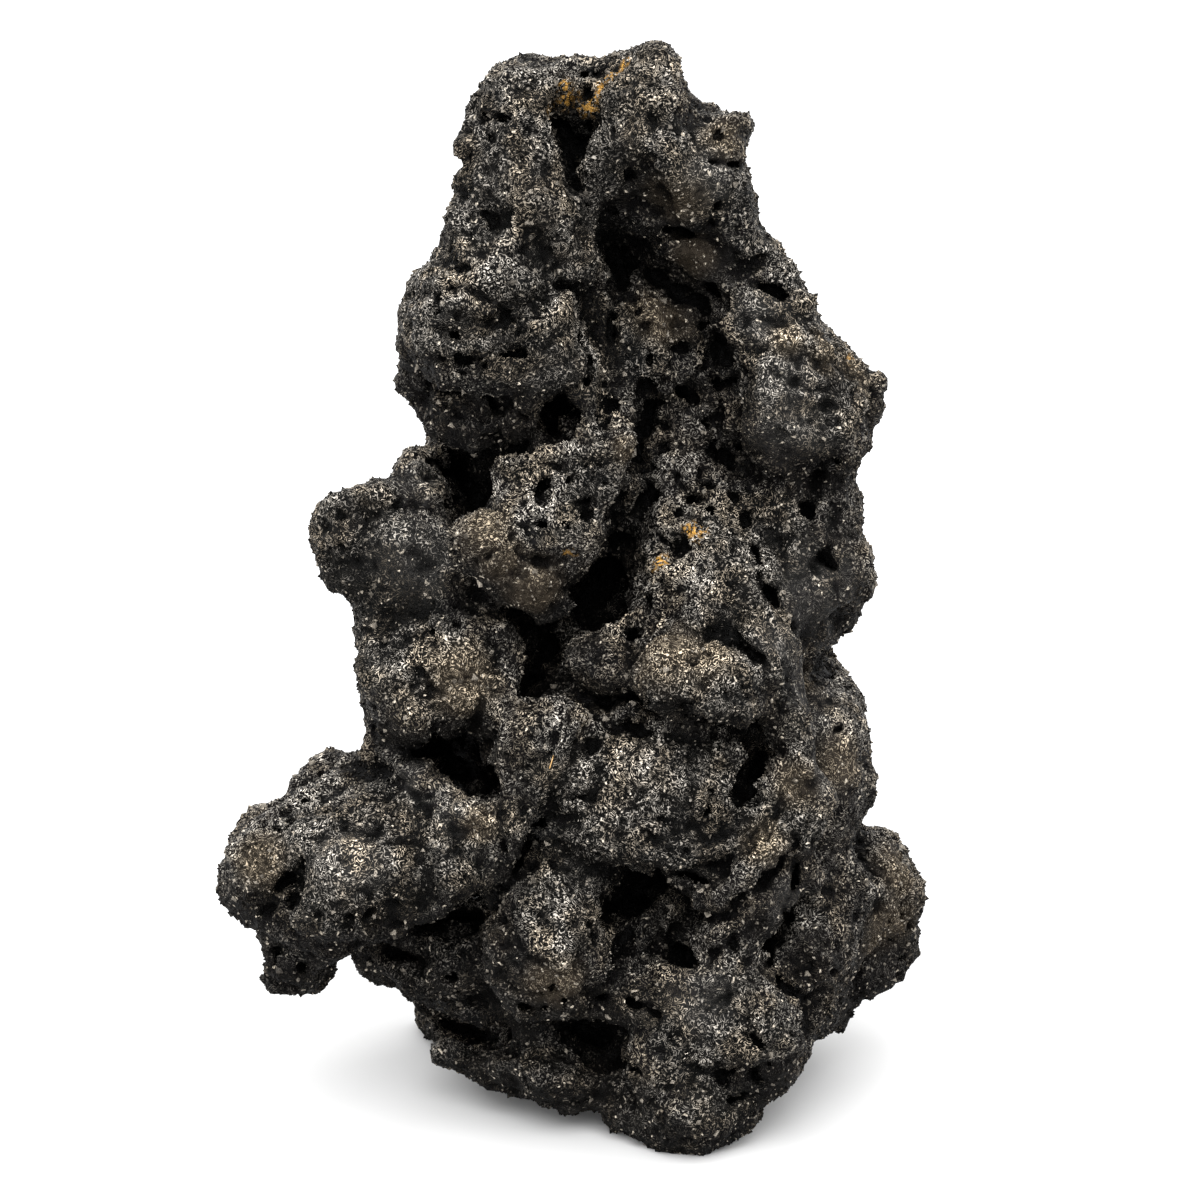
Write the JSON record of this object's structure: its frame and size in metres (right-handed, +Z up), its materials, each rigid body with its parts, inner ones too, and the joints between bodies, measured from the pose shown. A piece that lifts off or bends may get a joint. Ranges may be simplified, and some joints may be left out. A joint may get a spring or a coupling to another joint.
{
  "type": "lava rock",
  "caption": "Rugged upright piece of black, glassy, porous basalt lava rock, standing on its own rough feet.",
  "frame": {"origin": "on the ground, under the middle of the stone's own bounding box", "axes": "+Z up along the stone's height, +X to the right of the side seen in the picture, +Y to its back"},
  "size_m": [0.132, 0.085, 0.1977],
  "materials": {
    "basalt": "rough, porous crust of small glassy grains, charcoal black with tan and brown tints"
  },
  "bodies": {
    "root": {"lava_rock": "basalt"}
  },
  "joints": []
}
